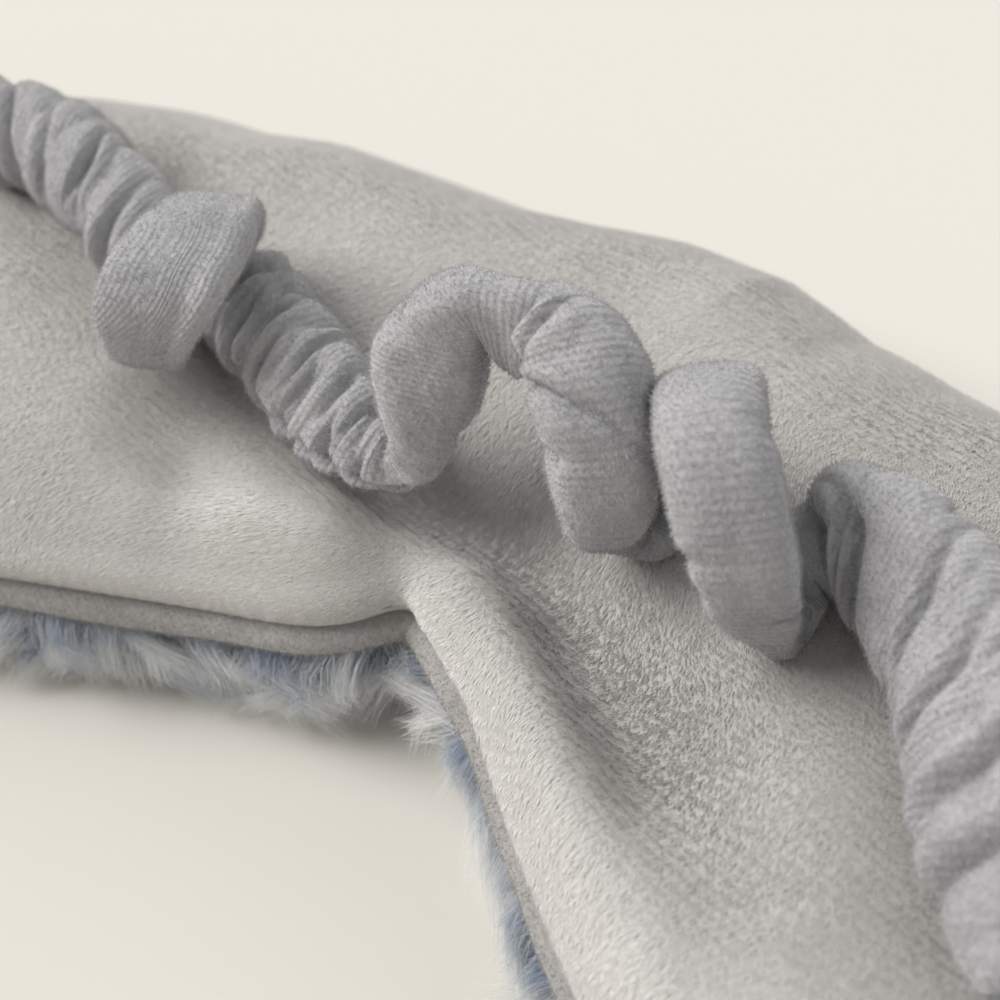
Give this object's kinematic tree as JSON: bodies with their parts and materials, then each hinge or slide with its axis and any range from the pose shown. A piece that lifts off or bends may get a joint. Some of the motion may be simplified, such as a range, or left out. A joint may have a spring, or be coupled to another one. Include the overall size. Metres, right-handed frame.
{
  "type": "sleep eye mask",
  "caption": "Padded plush sleep mask with velour edge binding, shaggy long-pile face side and a gathered elastic strap; folds over the nose and the strap swings behind the head.",
  "frame": {"origin": "middle of the mask across its width and from nose notch side to forehead edge, on the plane the long pile rests on", "axes": "+X across the mask to the right as seen from the plush front, +Y towards the forehead edge, +Z out of the plush front"},
  "size_m": [0.2232, 0.0934, 0.0432],
  "materials": {
    "plush": "short dense silver-grey plush with a silky nap",
    "long_pile": "long shaggy pile, marled white, pale grey and blue-grey",
    "velour_binding": "taupe-grey velour band",
    "thread": "matt polyester sewing thread",
    "pouch_cloth": "plain cotton weave",
    "grain": "loose whole flax seed",
    "strap_velour": "ribbed grey velour, gathered",
    "elastic": "knitted elastic band"
  },
  "bodies": {
    "right_half": {"front_panel_right": "plush", "face_panel_right": "long_pile", "edge_binding_right": "velour_binding", "binding_stitch_right": "thread", "inner_pouch_right": "pouch_cloth", "grain_fill_right": "grain", "strap_bartack_right": "thread"},
    "left_half": {"front_panel_left": "plush", "face_panel_left": "long_pile", "edge_binding_left": "velour_binding", "binding_stitch_left": "thread", "inner_pouch_left": "pouch_cloth", "grain_fill_left": "grain", "strap_bartack_left": "thread"},
    "strap_root_right": {"strap_root_cover_right": "strap_velour", "strap_root_elastic_right": "elastic"},
    "strap_right": {"strap_cover_right": "strap_velour", "strap_elastic_right": "elastic"},
    "strap_left": {"strap_cover_left": "strap_velour", "strap_elastic_left": "elastic"},
    "strap_root_left": {"strap_root_cover_left": "strap_velour", "strap_root_elastic_left": "elastic"}
  },
  "joints": [
    {"name": "nose_fold", "type": "hinge", "parent": "right_half", "child": "left_half", "pos_m": [0, 0, 0], "axis": [0, 1, 0], "range_deg": [-165, 0]},
    {"name": "strap_swing", "type": "hinge", "parent": "right_half", "child": "strap_root_right", "pos_m": [0.1096, 0, 0.014], "axis": [-1, 0, 0], "range_deg": [0, 180]},
    {"name": "strap_pull", "type": "slide", "parent": "strap_root_right", "child": "strap_right", "axis": [0, 0, 1], "range_m": [0, 0.1501]},
    {"name": "strap_fold", "type": "hinge", "parent": "strap_right", "child": "strap_left", "pos_m": [0, 0, 0], "axis": [0, 1, 0], "range_deg": [-165.1, 0.1]},
    {"name": "strap_return", "type": "slide", "parent": "strap_left", "child": "strap_root_left", "axis": [0, 0, -1], "range_m": [0, 0.1501]}
  ],
  "couplings": [
    {"joint": "strap_pull", "follows": "strap_swing", "m_per_rad": 0.047746},
    {"joint": "strap_return", "follows": "strap_swing", "m_per_rad": 0.047746},
    {"joint": "strap_fold", "follows": "nose_fold", "ratio": 1}
  ]
}
